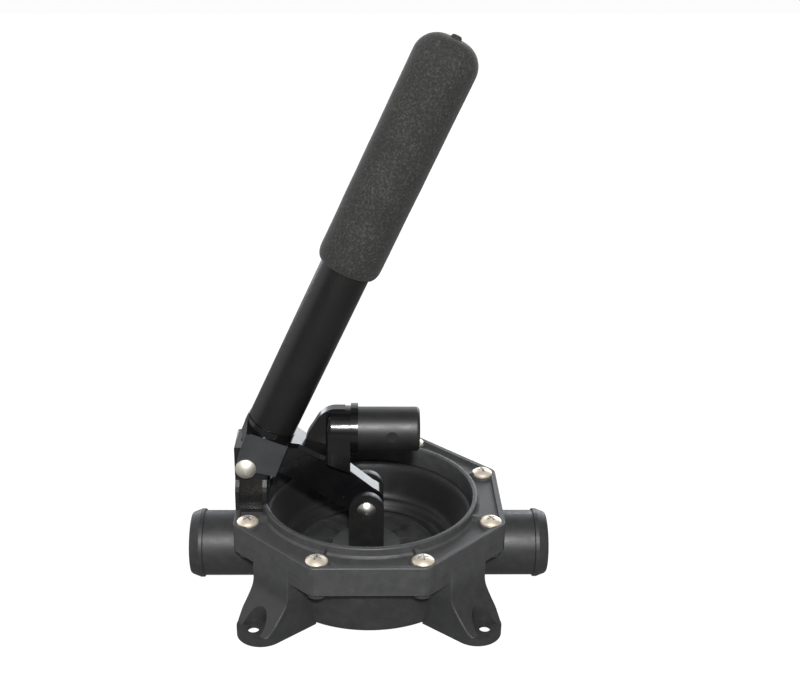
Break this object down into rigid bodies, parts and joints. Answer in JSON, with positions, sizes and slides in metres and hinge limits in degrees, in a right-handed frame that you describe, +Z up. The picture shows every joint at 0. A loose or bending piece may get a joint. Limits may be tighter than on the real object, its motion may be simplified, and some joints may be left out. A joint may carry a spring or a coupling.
{
  "type": "manual bilge pump",
  "caption": "Hand-lever diaphragm bilge pump: round black body on four legs, barbed hose ports, clamp ring, and a long foam-grip handle on a rocking lever.",
  "frame": {"origin": "centre of the round body, on the surface that its four feet stand on", "axes": "+X out of the discharge port, +Z up, and the lever swings in the XZ plane; -Y is the front"},
  "size_m": [0.2086, 0.1528, 0.3168],
  "materials": {
    "housing_plastic": "moulded black plastic, satin, fine texture",
    "lever_plastic": "moulded black plastic, smoother and glossier than the housing",
    "plate_plastic": "moulded dark plastic, satin",
    "rubber": "moulded black rubber, soft sheen",
    "stainless": "stainless steel, softly polished",
    "tube_anodised": "black anodised aluminium tube, satin",
    "grip_foam": "closed-cell foam, mottled dark grey"
  },
  "bodies": {
    "housing": {"pump_body": "housing_plastic", "clamp_ring": "housing_plastic", "ring_screws": "stainless", "inlet_valve_seat": "plate_plastic", "outlet_valve_seat": "plate_plastic", "inlet_flap_pin": "stainless", "outlet_flap_pin": "stainless"},
    "lever": {"lever": "lever_plastic", "pivot_pin": "stainless", "pivot_clip": "stainless"},
    "clevis": {"clevis_plate": "plate_plastic", "clevis_pin": "stainless", "clevis_clip": "stainless", "lower_plate": "plate_plastic", "plate_washer": "stainless", "plate_bolt": "stainless"},
    "diaphragm_centre": {"diaphragm": "rubber"},
    "handle": {"handle_tube": "tube_anodised", "tube_cap": "plate_plastic", "handle_grip": "grip_foam"},
    "inlet_flap": {"inlet_flap": "rubber", "inlet_flap_weight": "stainless"},
    "outlet_flap": {"outlet_flap": "rubber", "outlet_flap_weight": "stainless"}
  },
  "joints": [
    {"name": "lever_pivot", "type": "hinge", "parent": "housing", "child": "lever", "pos_m": [-0.0698, 0, 0.0782], "axis": [0, -1, 0], "range_deg": [0, 38]},
    {"name": "clevis_pivot", "type": "hinge", "parent": "lever", "child": "clevis", "pos_m": [-0.0018, 0, 0.0508], "axis": [0, -1, 0], "range_deg": [-39, 1]},
    {"name": "diaphragm_slide", "type": "slide", "parent": "housing", "child": "diaphragm_centre", "axis": [0.0514, 0, 0.9987], "range_m": [-0.0005, 0.04824], "deforming": ["diaphragm"]},
    {"name": "handle_pull", "type": "slide", "parent": "lever", "child": "handle", "axis": [0.4147, 0, 0.91], "range_m": [0, 0.038]},
    {"name": "inlet_flap_hinge", "type": "hinge", "parent": "housing", "child": "inlet_flap", "pos_m": [-0.0682, 0, 0.0336], "axis": [0, -1, 0], "range_deg": [0, 35]},
    {"name": "outlet_flap_hinge", "type": "hinge", "parent": "housing", "child": "outlet_flap", "pos_m": [0.0718, 0, 0.0336], "axis": [0, -1, 0], "range_deg": [0, 35]}
  ],
  "couplings": [
    {"joint": "clevis_pivot", "follows": "lever_pivot", "ratio": -1},
    {"joint": "diaphragm_slide", "follows": "lever_pivot", "m_per_rad": 0.071976}
  ]
}
